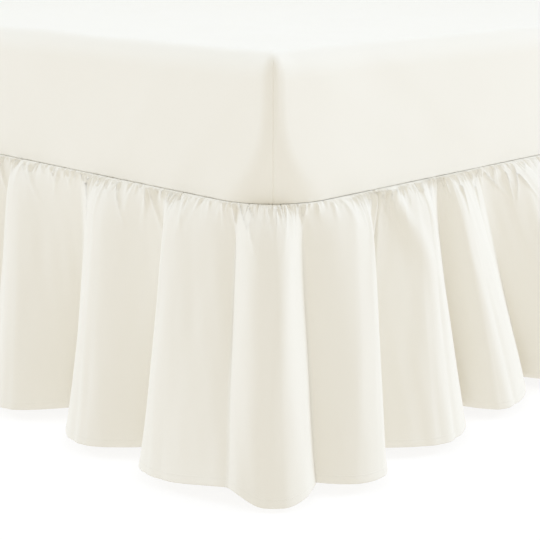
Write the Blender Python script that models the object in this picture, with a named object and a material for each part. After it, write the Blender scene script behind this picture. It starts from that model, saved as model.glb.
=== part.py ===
"""A frilled valance sheet on a king-size mattress and its divan base.

Metres, +Z up. The origin is on the floor under the middle of the bed, +Y points to the head
and the foot is at -Y. The sheet's top and four walls are one cloth. A frill of four lengths of
gathered cloth hangs from the walls' lower edge to just above the floor, on all four sides.
"""
import random
from collections import namedtuple
from math import cos, pi, radians, sin, sqrt

import bmesh
import bpy
import numpy as np

# Bed and mattress
BED_WIDTH = 1.50
BED_LENGTH = 2.00
SEAM_HEIGHT = 0.425          # floor to the seam that joins the walls and the frill
WALL_DEPTH = 0.230           # seam to the top of the sheet
SEAM_CORNER_RADIUS = 0.115   # plan radius of the sheet's corners at the seam
TOP_CORNER_RADIUS = 0.028    # and at the top, where the corner seams draw them in
TOP_EDGE_RADIUS = 0.042
LEAST_CORNER_RADIUS = 0.003  # plan radius left where the corners run into the top
CORNER_SPREAD = 3            # power by which the plan radius narrows from the seam to the top
MATTRESS_BELOW_SEAM = 0.010
MATTRESS_BOTTOM_EDGE = 0.008

# Divan base and its glides
BASE_INSET = 0.007           # the base's sides stand in from the sheet's walls
BASE_EDGE_RADIUS = 0.006
GLIDE_HEIGHT = 0.025
GLIDE_RADIUS = 0.028
GLIDE_INSET = 0.140          # centre of a corner glide in from the bed's sides
GLIDE_SIDES = 32

# Cloth
SHEET_THICKNESS = 0.0015
FRILL_THICKNESS = 0.0020
FRILL_TOP_PROUD = 0.0020     # the gathered edge stands this far out of the wall
HEM_HEIGHT = 0.018
PIECE_GAP = 0.0003
JOIN_TRIM = 0.00040          # cloth left off each end of a frill length, for the gap between two

# How a frill fold leaves the seam: part of its reach comes at once, the rest down the drop
SPRING_DEPTH = 0.020         # how far below the seam a fold has sprung out
VALLEY_SPRING = 0.034        # share of the reach that springs out in a valley
CREST_SPRING = 0.19          # and what a crest adds to it
VALLEY_BELLY = 0.35          # how much later than a crest a valley comes forward
FAN = 1.18                   # how early a fold line swings from its seam place to its hem place
CREST_CROWN = 0.12           # rise of a crest's middle, as a share of its flat width
CREST_ROUNDING = 0.06        # share of a flank over which its crest is rounded
TURN_SPREAD = 0.045          # metres of seam each way over which the cloth turns a corner
TURN_STEPS = 19

# Mesh steps
CORNER_STEPS = 8
EDGE_STEPS = 4
WALL_STEPS = 6
FLANK_STEPS = 4
CREST_STEPS = 2
FRILL_LEVELS = (0, 0.05, 0.15, 0.35, 0.65, 1)
HEM_SAMPLES = 24001
NORMAL_STEP = 0.004          # half the length of cloth over which its direction is taken
NORMAL_LEAN = 0.01           # and half the share of the drop

# A row for each fold: places are metres round the seam from the middle of the foot-left corner,
# foot side positive. "seam" and "crest" are the fold's place at the seam and at the hem, "reach"
# how far its crest stands out there, "flat" the width of its top, "valley_seam", "valley" and
# "valley_reach" the hollow after it, and "dip" and "valley_dip" how much lower their hems hang.
# "rise" and "fall" shape the flanks before and after the crest: 1 is straight and 2 is round with
# a sharp hollow.
Fold = namedtuple("Fold", "seam crest reach flat valley_seam valley valley_reach dip valley_dip "
                          "rise fall")
CORNER_FOLDS = [
    Fold(-0.605, -0.506, 0.139, 0.038, -0.436, -0.402, 0.038, 0.000, 0.000, 1.80, 1.39),
    Fold(-0.353, -0.275, 0.148, 0.023, -0.218, -0.175, 0.076, 0.000, 0.000, 1.66, 1.38),
    Fold(-0.167, -0.096, 0.151, 0.022, -0.054, -0.030, 0.150, 0.000, -0.009, 1.67, 1.10),
    Fold(-0.004, 0.000, 0.171, 0.008, 0.042, 0.033, 0.112, 0.0115, 0.000, 1.87, 1.90),
    Fold(0.147, 0.074, 0.143, 0.021, 0.199, 0.135, 0.045, 0.000, 0.000, 1.14, 1.79),
    Fold(0.294, 0.255, 0.123, 0.038, 0.357, 0.400, 0.030, 0.000, 0.000, 1.14, 1.72),
    Fold(0.386, 0.457, 0.099, 0.036, 0.470, 0.606, 0.021, 0.000, 0.000, 1.38, 1.76),
    Fold(0.590, 0.702, 0.124, 0.040, 0.700, 0.789, 0.050, 0.000, 0.000, 1.58, 2.00),
]

# The folds on the rest of the bed, with the least and the most of each of their sizes. Gaps and
# valley places are shares of the even gap between two crests.
OTHER_FOLDS = 27
OTHER_FOLDS_SEED = 7
OTHER_GAPS = (0.84, 1.16)
OTHER_SEAM_SHIFTS = (-0.020, 0.020)
OTHER_REACHES = (0.118, 0.155)
OTHER_FLATS = (0.015, 0.045)
OTHER_VALLEYS = (0.46, 0.56)
OTHER_VALLEY_REACHES = (0.036, 0.072)
OTHER_FLANKS = (1.4, 2.2)

# The frill's four lengths, in order from the join in the valley after the last corner fold
FRILL_LENGTHS = ("frill_foot_right", "frill_head_right", "frill_head_left", "frill_foot_left")

# The seam line in plan: an arc at each corner, starting half way round the foot-left one
HALF_ARC = SEAM_CORNER_RADIUS * pi / 4
FOOT_RUN = BED_WIDTH - 2 * SEAM_CORNER_RADIUS
SIDE_RUN = BED_LENGTH - 2 * SEAM_CORNER_RADIUS
SEAM_STATIONS = np.cumsum([0, HALF_ARC, FOOT_RUN, 2 * HALF_ARC, SIDE_RUN, 2 * HALF_ARC,
                           FOOT_RUN, 2 * HALF_ARC, SIDE_RUN, HALF_ARC])
SEAM_ROUND = SEAM_STATIONS[-1]
SEAM_TURNS = np.radians([225, 270, 270, 360, 360, 450, 450, 540, 540, 585])
SEAM_CENTRES_X = np.array([-1, -1, 1, 1, 1, 1, -1, -1, -1, -1]) * FOOT_RUN / 2
SEAM_CENTRES_Y = np.array([-1, -1, -1, -1, 1, 1, 1, 1, -1, -1]) * SIDE_RUN / 2


def make_material(name, colour, roughness):
    """A plain Principled finish with no metal in it."""
    material = bpy.data.materials.new(name)
    material.use_nodes = True
    shader = material.node_tree.nodes["Principled BSDF"]
    shader.inputs["Base Color"].default_value = (*colour, 1)
    shader.inputs["Roughness"].default_value = roughness
    shader.inputs["Metallic"].default_value = 0
    return material


def add_node(name, mesh, material, smooth_angle=40):
    """A named object in the scene, with its material and smooth shading."""
    mesh.shade_smooth()
    mesh.set_sharp_from_angle(angle=radians(smooth_angle))
    mesh.materials.append(material)
    node = bpy.data.objects.new(name, mesh)
    bpy.context.collection.objects.link(node)
    return node


def rounded_ring(corner_radius, inset, height):
    """Points round the bed, seen from above, with arcs at the four corners."""
    points = []
    for corner, (side_x, side_y) in enumerate([(-1, -1), (1, -1), (1, 1), (-1, 1)]):
        centre_x = side_x * (BED_WIDTH / 2 - corner_radius)
        centre_y = side_y * (BED_LENGTH / 2 - corner_radius)
        for step in range(CORNER_STEPS + 1):
            turn = pi + (corner + step / CORNER_STEPS) * pi / 2
            points.append((centre_x + (corner_radius - inset) * cos(turn),
                           centre_y + (corner_radius - inset) * sin(turn), height))
    return points


def wall_rings(cloth_depth):
    """Rings up the wall and over the top edge, set in from the sheet's outside by cloth_depth."""
    rings = []
    straight = WALL_DEPTH - TOP_EDGE_RADIUS
    for step in range(WALL_STEPS + 1):
        up = step / WALL_STEPS
        narrowed = (SEAM_CORNER_RADIUS - TOP_CORNER_RADIUS) * (1 - up) ** CORNER_SPREAD
        radius = TOP_CORNER_RADIUS + narrowed
        rings.append(rounded_ring(radius, cloth_depth, SEAM_HEIGHT + up * straight))
    for step in range(1, EDGE_STEPS + 1):
        turn = step / EDGE_STEPS * pi / 2
        inset = TOP_EDGE_RADIUS - (TOP_EDGE_RADIUS - cloth_depth) * cos(turn)
        height = SEAM_HEIGHT + straight + (TOP_EDGE_RADIUS - cloth_depth) * sin(turn)
        radius = max(TOP_CORNER_RADIUS, inset + LEAST_CORNER_RADIUS)
        rings.append(rounded_ring(radius, inset, height))
    return rings


def lofted_mesh(name, rings):
    """A closed solid through rings from bottom to top, each seen anticlockwise from above."""
    form = bmesh.new()
    rows = [[form.verts.new(point) for point in ring] for ring in rings]
    count = len(rows[0])
    for lower, upper in zip(rows, rows[1:]):
        for at in range(count):
            after = (at + 1) % count
            form.faces.new((lower[at], lower[after], upper[after], upper[at]))
    form.faces.new(list(reversed(rows[0])))
    form.faces.new(rows[-1])
    mesh = bpy.data.meshes.new(name)
    form.to_mesh(mesh)
    form.free()
    return mesh


def mattress():
    """The plain mattress, a thickness and a gap inside the sheet."""
    depth = SHEET_THICKNESS + PIECE_GAP
    bottom = SEAM_HEIGHT - MATTRESS_BELOW_SEAM + PIECE_GAP
    rings = []
    for step in range(EDGE_STEPS):
        turn = step / EDGE_STEPS * pi / 2
        inset = depth + MATTRESS_BOTTOM_EDGE * (1 - sin(turn))
        height = bottom + MATTRESS_BOTTOM_EDGE * (1 - cos(turn))
        rings.append(rounded_ring(SEAM_CORNER_RADIUS, inset, height))
    rings += wall_rings(depth)
    ticking = make_material("mattress_ticking", (0.86, 0.85, 0.82), 0.85)
    add_node("mattress", lofted_mesh("mattress", rings), ticking)


def divan_base():
    """The plain upholstered base, with its top edge rounded."""
    top = SEAM_HEIGHT - MATTRESS_BELOW_SEAM
    rings = [rounded_ring(SEAM_CORNER_RADIUS, BASE_INSET, GLIDE_HEIGHT + PIECE_GAP)]
    for step in range(EDGE_STEPS + 1):
        turn = step / EDGE_STEPS * pi / 2
        inset = BASE_INSET + BASE_EDGE_RADIUS * (1 - cos(turn))
        height = top - BASE_EDGE_RADIUS * (1 - sin(turn))
        rings.append(rounded_ring(SEAM_CORNER_RADIUS, inset, height))
    cover = make_material("base_cover", (0.70, 0.68, 0.63), 0.85)
    add_node("divan_base", lofted_mesh("divan_base", rings), cover)


def glides():
    """Six round feet with flat soles under the base, at its corners and half way along."""
    plastic = make_material("glide_plastic", (0.06, 0.06, 0.065), 0.45)
    across = BED_WIDTH / 2 - GLIDE_INSET
    along = BED_LENGTH / 2 - GLIDE_INSET
    for end, y in (("foot", -along), ("middle", 0), ("head", along)):
        for side, x in (("left", -across), ("right", across)):
            form = bmesh.new()
            bmesh.ops.create_cone(form, cap_ends=True, segments=GLIDE_SIDES, depth=GLIDE_HEIGHT,
                                  radius1=GLIDE_RADIUS, radius2=GLIDE_RADIUS)
            mesh = bpy.data.meshes.new("glide")
            form.to_mesh(mesh)
            form.free()
            node = add_node(f"glide_{end}_{side}", mesh, plastic)
            node.location = (x, y, GLIDE_HEIGHT / 2)


def fitted_sheet(cloth):
    """The sheet's top and walls: one cloth, open below, as a shell of its thickness."""
    outside = wall_rings(0)
    inside = wall_rings(SHEET_THICKNESS)
    form = bmesh.new()
    outer = [[form.verts.new(point) for point in ring] for ring in outside]
    inner = [[form.verts.new(point) for point in ring] for ring in inside]
    count = len(outer[0])
    for at in range(count):
        after = (at + 1) % count
        for low, high in zip(outer, outer[1:]):
            form.faces.new((low[at], low[after], high[after], high[at]))
        for low, high in zip(inner, inner[1:]):
            form.faces.new((low[after], low[at], high[at], high[after]))
        form.faces.new((outer[0][after], outer[0][at], inner[0][at], inner[0][after]))
    form.faces.new(outer[-1])
    form.faces.new(list(reversed(inner[-1])))
    mesh = bpy.data.meshes.new("fitted_sheet")
    form.to_mesh(mesh)
    form.free()
    add_node("fitted_sheet", mesh, cloth)


def all_folds():
    """Uneven folds round the bed from the corner ones, and those of the corner to close it."""
    chance = random.Random(OTHER_FOLDS_SEED)
    crest = CORNER_FOLDS[-1].crest
    gaps = [chance.uniform(*OTHER_GAPS) for _ in range(OTHER_FOLDS + 1)]
    scale = (CORNER_FOLDS[0].crest + SEAM_ROUND - crest) / sum(gaps)
    folds = []
    for before, after in zip(gaps, gaps[1:]):
        crest += before * scale
        folds.append(Fold(seam=crest + chance.uniform(*OTHER_SEAM_SHIFTS),
                          crest=crest,
                          reach=chance.uniform(*OTHER_REACHES),
                          flat=chance.uniform(*OTHER_FLATS),
                          valley_seam=crest + after * scale * 0.5,
                          valley=crest + after * scale * chance.uniform(*OTHER_VALLEYS),
                          valley_reach=chance.uniform(*OTHER_VALLEY_REACHES),
                          dip=0.0, valley_dip=0.0,
                          rise=chance.uniform(*OTHER_FLANKS), fall=chance.uniform(*OTHER_FLANKS)))
    for fold in CORNER_FOLDS:
        folds.append(fold._replace(seam=fold.seam + SEAM_ROUND, crest=fold.crest + SEAM_ROUND,
                                   valley_seam=fold.valley_seam + SEAM_ROUND,
                                   valley=fold.valley + SEAM_ROUND))
    return folds


def seam_turn(place):
    """Which way the seam line faces at metres round from its start, in radians from +X."""
    laps = np.floor(place / SEAM_ROUND)
    return np.interp(place - laps * SEAM_ROUND, SEAM_STATIONS, SEAM_TURNS) + laps * 2 * pi


def seam_point(place):
    """Plan point on the seam line, and the direction in which the cloth there stands out."""
    turn = seam_turn(place)
    place = np.mod(place, SEAM_ROUND)
    x = np.interp(place, SEAM_STATIONS, SEAM_CENTRES_X) + SEAM_CORNER_RADIUS * np.cos(turn)
    y = np.interp(place, SEAM_STATIONS, SEAM_CENTRES_Y) + SEAM_CORNER_RADIUS * np.sin(turn)
    # The cloth is too stiff to turn sharply where an arc meets a straight side
    spread = np.linspace(-TURN_SPREAD, TURN_SPREAD, TURN_STEPS)
    turn = np.mean([seam_turn(place + offset) for offset in spread], axis=0)
    return x, y, np.cos(turn), np.sin(turn)


def ease(t):
    """A smooth step from 0 to 1."""
    return t * t * (3 - 2 * t)


def flank(from_crest, power):
    """Height of a fold's flank, from 1 at its crest to 0 in the hollow, with the crest rounded."""
    rounded = np.sqrt(from_crest ** 2 + CREST_ROUNDING ** 2) - CREST_ROUNDING
    return 1 - (rounded / (sqrt(1 + CREST_ROUNDING ** 2) - CREST_ROUNDING)) ** power


class Hem:
    """The frill's lower edge: place and reach against the length of cloth round it."""

    def __init__(self, folds):
        # The valley before the first fold, then for each the ends of its crest and its valley
        knots = [(folds[-1].valley - SEAM_ROUND, folds[-1].valley_reach, 0, folds[-1].valley_dip,
                  folds[0].rise, 0)]
        for fold, following in zip(folds, folds[1:] + folds[:1]):
            crown = fold.flat * CREST_CROWN
            knots.append((fold.crest - fold.flat / 2, fold.reach, 1, fold.dip, 1, crown))
            knots.append((fold.crest + fold.flat / 2, fold.reach, 1, fold.dip, fold.fall, 0))
            knots.append((fold.valley, fold.valley_reach, 0, fold.valley_dip, following.rise, 0))
        at, reach, crest, dip, power, crown = np.array(knots).T
        self.place = np.linspace(at[0], at[-1], HEM_SAMPLES)
        span = np.clip(np.searchsorted(at, self.place, "right") - 1, 0, len(at) - 2)
        share = np.clip((self.place - at[span]) / (at[span + 1] - at[span]), 0, 1)
        rising = crest[span] == 0
        high = flank(np.where(rising, 1 - share, share), power[span])
        along_span = np.where(rising, high, 1 - high)
        self.reach = reach[span] + (reach[span + 1] - reach[span]) * along_span
        self.reach += crown[span] * 4 * share * (1 - share)
        self.crest = crest[span] + (crest[span + 1] - crest[span]) * along_span
        self.dip = dip[span] + (dip[span + 1] - dip[span]) * ease(share)
        x, y, out_x, out_y = seam_point(self.place)
        x, y = x + self.reach * out_x, y + self.reach * out_y
        self.cloth = np.append(0, np.cumsum(np.hypot(np.diff(x), np.diff(y))))
        self.knots = np.interp(at, self.place, self.cloth)
        marks = [(folds[-1].valley - SEAM_ROUND, folds[-1].valley_seam - SEAM_ROUND)]
        for fold in folds:
            marks += [(fold.crest, fold.seam), (fold.valley, fold.valley_seam)]
        marks = np.array(marks)
        self.seam = np.interp(self.cloth, np.interp(marks[:, 0], self.place, self.cloth),
                              marks[:, 1])

    def column(self, cloth):
        """Hem place, reach, crest weight, dip and seam place at lengths of cloth."""
        return [np.interp(cloth, self.cloth, values)
                for values in (self.place, self.reach, self.crest, self.dip, self.seam)]


def frill_surface(hem, cloth, down):
    """Points of the frill's outer face, at lengths of cloth and one share of the drop."""
    place, reach, crest, dip, seam = hem.column(cloth)
    drop = SEAM_HEIGHT - HEM_HEIGHT
    spring = VALLEY_SPRING + CREST_SPRING * crest
    sprung = (1 - np.exp(-down * drop / SPRING_DEPTH)) / (1 - np.exp(-drop / SPRING_DEPTH))
    flare = down ** (1 + VALLEY_BELLY * (1 - crest))
    out = FRILL_TOP_PROUD + (reach - FRILL_TOP_PROUD) * (spring * sprung + (1 - spring) * flare)
    along = seam + (place - seam) * (1 - (1 - down) ** FAN)
    x, y, out_x, out_y = seam_point(along)
    height = SEAM_HEIGHT - PIECE_GAP - down * (drop - PIECE_GAP + dip)
    return np.stack([x + out * out_x, y + out * out_y, height], axis=1)


def frill_normals(hem, cloth, down):
    """Outward directions of the frill, from short steps along the cloth and down it."""
    along = (frill_surface(hem, cloth + NORMAL_STEP, down)
             - frill_surface(hem, cloth - NORMAL_STEP, down))
    low, high = min(down + NORMAL_LEAN, 1), max(down - NORMAL_LEAN, 0)
    drop = frill_surface(hem, cloth, low) - frill_surface(hem, cloth, high)
    if down == 0:
        drop = np.tile((0.0, 0.0, -1.0), (len(cloth), 1))
    normal = np.cross(drop, along)
    return normal / np.linalg.norm(normal, axis=1, keepdims=True)


def column_places(hem, start, end):
    """Lengths of cloth for a frill length's columns: even steps over each crest and flank."""
    columns = []
    for at, (low, high) in enumerate(zip(hem.knots, hem.knots[1:])):
        if start <= low < end:
            steps = CREST_STEPS if at % 3 == 1 else FLANK_STEPS
            columns += [low + (high - low) * step / steps for step in range(steps)]
    return np.array([start + JOIN_TRIM, *columns[1:], end - JOIN_TRIM])


def shorter_split(quad):
    """The two triangles that a twisted quad's shorter diagonal makes, as corner numbers.

    The cloth's two skins share each split, because skins that are split differently can cross.
    """
    first, second, third, fourth = (corner.co for corner in quad)
    if (first - third).length < (second - fourth).length:
        return (0, 1, 2), (0, 2, 3)
    return (0, 1, 3), (1, 2, 3)


def frill_length(name, hem, start, end, cloth_finish):
    """One length of the frill, from join to join, as a shell of the cloth's thickness."""
    columns = column_places(hem, start, end)
    outer = []
    inner = []
    form = bmesh.new()
    for down in FRILL_LEVELS:
        face = frill_surface(hem, columns, down)
        back = face - FRILL_THICKNESS * frill_normals(hem, columns, down)
        outer.append([form.verts.new(point) for point in face])
        inner.append([form.verts.new(point) for point in back])
    last_row = len(FRILL_LEVELS) - 1
    last = len(columns) - 1
    for row in range(last_row):
        for at in range(last):
            cell = ((row, at), (row + 1, at), (row + 1, at + 1), (row, at + 1))
            outside = [outer[level][column] for level, column in cell]
            inside = [inner[level][column] for level, column in cell]
            for split in shorter_split(outside):
                form.faces.new([outside[corner] for corner in split])
                form.faces.new([inside[corner] for corner in reversed(split)])
        form.faces.new((inner[row][0], inner[row + 1][0], outer[row + 1][0], outer[row][0]))
        form.faces.new((outer[row][last], outer[row + 1][last],
                        inner[row + 1][last], inner[row][last]))
    for at in range(last):
        form.faces.new((inner[0][at], outer[0][at], outer[0][at + 1], inner[0][at + 1]))
        form.faces.new((outer[last_row][at], inner[last_row][at],
                        inner[last_row][at + 1], outer[last_row][at + 1]))
    mesh = bpy.data.meshes.new(name)
    form.to_mesh(mesh)
    form.free()
    add_node(name, mesh, cloth_finish)


def frill(cloth_finish):
    """The four lengths that are sewn end to end, each joined to the next in a valley."""
    folds = all_folds()
    hem = Hem(folds)
    valleys = hem.knots[::3]
    cut = hem.knots[-1] / len(FRILL_LENGTHS)
    joins = [valleys[np.argmin(np.abs(valleys - number * cut))]
             for number in range(len(FRILL_LENGTHS) + 1)]
    for name, start, end in zip(FRILL_LENGTHS, joins, joins[1:]):
        frill_length(name, hem, start, end, cloth_finish)


for old in list(bpy.data.objects):
    bpy.data.objects.remove(old)
cotton = make_material("cream_cotton", (0.90, 0.87, 0.80), 0.85)
mattress()
divan_base()
glides()
fitted_sheet(cotton)
frill(cotton)
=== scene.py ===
import random
from collections import namedtuple
from math import cos, exp, pi, radians, sin, sqrt

import bpy
import numpy as np
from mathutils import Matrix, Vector


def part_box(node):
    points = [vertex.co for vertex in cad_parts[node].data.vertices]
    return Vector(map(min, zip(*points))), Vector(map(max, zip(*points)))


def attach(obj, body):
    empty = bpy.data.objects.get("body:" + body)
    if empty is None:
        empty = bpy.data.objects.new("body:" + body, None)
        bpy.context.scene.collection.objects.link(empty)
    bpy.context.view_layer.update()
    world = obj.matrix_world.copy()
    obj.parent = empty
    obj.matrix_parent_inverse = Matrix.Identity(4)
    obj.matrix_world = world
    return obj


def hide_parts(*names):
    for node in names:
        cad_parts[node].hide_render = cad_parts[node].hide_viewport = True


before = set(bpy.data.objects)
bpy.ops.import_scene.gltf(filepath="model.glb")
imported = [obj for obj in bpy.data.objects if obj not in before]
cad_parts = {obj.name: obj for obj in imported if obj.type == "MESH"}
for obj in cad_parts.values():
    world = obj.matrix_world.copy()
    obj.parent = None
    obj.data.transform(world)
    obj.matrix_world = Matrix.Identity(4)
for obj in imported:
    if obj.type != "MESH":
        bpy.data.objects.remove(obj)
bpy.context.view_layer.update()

# ---------------------------------------------------------------------------------------------
# Glides. Six round feet of moulded nylon are knocked up into the base's underside. Their soles
# are flat and a little scuffed. They keep the frame's own solids and get a finish here.
# ---------------------------------------------------------------------------------------------


class Wire:
    """A shader socket that can stand in a sum, such as 0.38 + scuffs * 0.25."""

    def __init__(self, finish, socket):
        self.finish = finish
        self.socket = socket

    def sum(self, operation, first, second):
        return self.finish.add("ShaderNodeMath", {"operation": operation}, {0: first, 1: second})

    def siblings(self):
        """Every output of the node that this one comes from."""
        return [Wire(self.finish, socket) for socket in self.socket.node.outputs]

    def __add__(self, other):
        return self.sum("ADD", self, other)

    def __mul__(self, other):
        return self.sum("MULTIPLY", self, other)

    __radd__ = __add__
    __rmul__ = __mul__


class Finish:
    """A material being made: add() puts in any node, and the rest feed the surface shader."""

    def __init__(self, name, roughness, sheen=0.0, specular=0.5):
        self.material = bpy.data.materials.new(name)
        self.material.use_nodes = True
        self.tree = self.material.node_tree
        self.shader = self.tree.nodes["Principled BSDF"]
        self.set("Roughness", roughness)
        self.set("Sheen Weight", sheen)
        self.set("Specular IOR Level", specular)

    def set(self, name, value):
        """A number, a colour or a wire on one of the surface shader's sockets."""
        self.feed(self.shader.inputs[name], value)

    def feed(self, socket, value):
        if isinstance(value, Wire):
            self.tree.links.new(value.socket, socket)
        else:
            socket.default_value = value

    def add(self, kind, settings=None, inputs=None, out=0):
        """Any node: its settings first, then its sockets by number or name. Gives one output."""
        node = self.tree.nodes.new(kind)
        for name, value in (settings or {}).items():
            setattr(node, name, value)
        live_inputs = [socket for socket in node.inputs if socket.enabled]
        for key, value in (inputs or {}).items():
            if isinstance(key, str):
                socket = next(one for one in live_inputs if one.name == key)
            else:
                socket = live_inputs[key]
            self.feed(socket, value)
        live_outputs = [socket for socket in node.outputs if socket.enabled]
        return Wire(self, live_outputs[out])

    def noise(self, at, scale, detail=2.0):
        """Soft noise from 0 to 1 with features 1 / scale metres across."""
        return self.add("ShaderNodeTexNoise", {}, {"Vector": at, "Scale": scale, "Detail": detail})

    def mix(self, share, first, second):
        """A colour between two others."""
        return self.add("ShaderNodeMix", {"data_type": "RGBA"},
                        {"Factor": share, "A": (*first, 1), "B": (*second, 1)})

    def bump(self, height, distance):
        """The surface's small relief: a height from 0 to 1, worth distance metres."""
        self.set("Normal", self.add("ShaderNodeBump", {}, {"Height": height, "Distance": distance}))


nylon = Finish("black_nylon", 0.45)
place = nylon.add("ShaderNodeTexCoord", {}, {}, out=3)
scuffs = nylon.noise(place, 400)
nylon.set("Base Color", nylon.mix(scuffs, (0.018, 0.018, 0.020), (0.045, 0.045, 0.048)))
nylon.set("Roughness", 0.38 + scuffs * 0.25)
nylon.bump(nylon.noise(place, 1500), 0.0001)
for name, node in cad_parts.items():
    if name.startswith("glide"):
        node.data.materials.clear()
        node.data.materials.append(nylon.material)

# ---------------------------------------------------------------------------------------------
# Divan base. A timber box covered in oatmeal upholstery cloth, pulled tight and stapled below.
# The frill hides all but its lower edge, so the frame's solid stays and gets a woven finish.
# ---------------------------------------------------------------------------------------------


def woven(finish, across, along, pitch):
    """Height of a plain weave at two wires in metres: threads pass over and under by turns."""
    turn = 2 * pi / pitch
    warp = finish.add("ShaderNodeMath", {"operation": "SINE"}, {0: across * turn})
    weft = finish.add("ShaderNodeMath", {"operation": "SINE"}, {0: along * turn})
    return warp * weft * 0.5 + 0.5


upholstery = Finish("base_cover", 0.85, sheen=0.2, specular=0.3)
place = upholstery.add("ShaderNodeTexCoord", {}, {}, out=3)
base_x, base_y, base_z = upholstery.add("ShaderNodeSeparateXYZ", {}, {0: place}).siblings()
base_weave = woven(upholstery, base_x + base_y, base_z, 0.0016)
mottle = upholstery.noise(place, 60, 4)
upholstery.set("Base Color", upholstery.mix(base_weave * 0.5 + mottle * 0.5,
                                            (0.40, 0.36, 0.30), (0.60, 0.56, 0.48)))
upholstery.bump(base_weave, 0.0003)
base_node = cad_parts["divan_base"]
base_node.data.materials.clear()
base_node.data.materials.append(upholstery.material)

# ---------------------------------------------------------------------------------------------
# Mattress. A sprung mattress in white cotton ticking, with a rolled tape sewn round its lower
# edge. The sheet is pulled over it, so only its underside could ever show.
# ---------------------------------------------------------------------------------------------
sheet_low, sheet_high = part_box("fitted_sheet")
BED_WIDTH = sheet_high.x - sheet_low.x
BED_LENGTH = sheet_high.y - sheet_low.y
SEAM_HEIGHT = sheet_low.z
WALL_DEPTH = sheet_high.z - sheet_low.z
SEAM_CORNER_RADIUS = 0.115
TOP_CORNER_RADIUS = 0.028
TOP_EDGE_RADIUS = 0.042
CORNER_SPREAD = 3
LEAST_CORNER_RADIUS = 0.003
SEAM_SETTLE = 0.10
MATTRESS_INSET = 0.0060
MATTRESS_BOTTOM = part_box("mattress")[0].z
TAPE_RADIUS = 0.005
TAPE_STEPS = 10
SIDE_FOOT = 0.012
SIDE_STEPS = 8
EDGE_STEPS = 6
MATTRESS_ARC_POINTS = 12
CORNERS = np.array([(-1, -1), (1, -1), (1, 1), (-1, 1)])


def corner_radius(above, inset=0):
    """Plan radius of the sheet's corners at a height above the seam, widest at the seam."""
    up = min(above / (WALL_DEPTH - TOP_EDGE_RADIUS), 1)
    up *= (1 + SEAM_SETTLE) * up / (up + SEAM_SETTLE)
    narrowed = (SEAM_CORNER_RADIUS - TOP_CORNER_RADIUS) * (1 - up) ** CORNER_SPREAD
    return max(TOP_CORNER_RADIUS + narrowed, inset + LEAST_CORNER_RADIUS)


def round_the_bed(columns, radius, inset, height):
    """Points and outward directions at columns round the bed, anticlockwise from above.

    A column from k to k + 0.5 is on the arc of corner k, and one up to k + 1 on the side after.
    """
    corner = np.floor(columns).astype(int)
    share = (columns - corner) * 2
    turn = pi + (corner + np.minimum(share, 1)) * pi / 2
    reach = np.array([BED_WIDTH / 2 - radius, BED_LENGTH / 2 - radius])
    centre, ahead = CORNERS[corner % 4] * reach, CORNERS[(corner + 1) % 4] * reach
    centre = centre + (ahead - centre) * np.clip(share - 1, 0, 1)[:, None]
    outward = np.stack([np.cos(turn), np.sin(turn), np.zeros(len(turn))], axis=1)
    points = np.column_stack([centre, np.full(len(turn), height)]) + (radius - inset) * outward
    return points, outward


def mesh_piece(name, points, faces, material, body="root"):
    """A smooth-shaded mesh object that rides on the bed."""
    mesh = bpy.data.meshes.new(name)
    mesh.from_pydata(points.tolist(), [], faces)
    mesh.shade_smooth()
    mesh.materials.append(material)
    piece = bpy.data.objects.new(name, mesh)
    bpy.context.scene.collection.objects.link(piece)
    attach(piece, body)
    return piece


straight = WALL_DEPTH - TOP_EDGE_RADIUS
mattress_arc = np.append(np.linspace(0, 0.5, MATTRESS_ARC_POINTS), 0.75)
mattress_columns = np.concatenate([corner + mattress_arc for corner in range(4)])
profile = []
for step in range(TAPE_STEPS + 1):
    turn = -pi / 2 + pi * step / TAPE_STEPS
    profile.append((SEAM_CORNER_RADIUS, MATTRESS_INSET + TAPE_RADIUS * (1 - cos(turn)),
                    MATTRESS_BOTTOM + TAPE_RADIUS * (1 + sin(turn))))
for step in range(SIDE_STEPS + 1):
    above = SIDE_FOOT + step / SIDE_STEPS * (straight - SIDE_FOOT)
    profile.append((corner_radius(above), MATTRESS_INSET, SEAM_HEIGHT + above))
for step in range(1, EDGE_STEPS + 1):
    turn = step / EDGE_STEPS * pi / 2
    edge = TOP_EDGE_RADIUS - MATTRESS_INSET
    inset = TOP_EDGE_RADIUS - edge * cos(turn)
    profile.append((corner_radius(straight, inset), inset,
                    SEAM_HEIGHT + straight + edge * sin(turn)))
count = len(mattress_columns)
points = np.concatenate([round_the_bed(mattress_columns, *row)[0] for row in profile])
faces = [(row * count + at, row * count + (at + 1) % count,
          (row + 1) * count + (at + 1) % count, (row + 1) * count + at)
         for row in range(len(profile) - 1) for at in range(count)]
faces.append(tuple(reversed(range(count))))
faces.append(tuple(range(len(points) - count, len(points))))
ticking = Finish("mattress_ticking", 0.8, sheen=0.1, specular=0.3)
place = ticking.add("ShaderNodeTexCoord", {}, {}, out=3)
tick_x, tick_y, tick_z = ticking.add("ShaderNodeSeparateXYZ", {}, {0: place}).siblings()
tick_weave = woven(ticking, tick_x + tick_z, tick_y + tick_z, 0.0009)
ticking.set("Base Color", ticking.mix(tick_weave, (0.70, 0.69, 0.66), (0.84, 0.83, 0.80)))
ticking.bump(tick_weave, 0.0002)
mattress = mesh_piece("plain_mattress", points, faces, ticking.material)
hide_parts("mattress")

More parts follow.
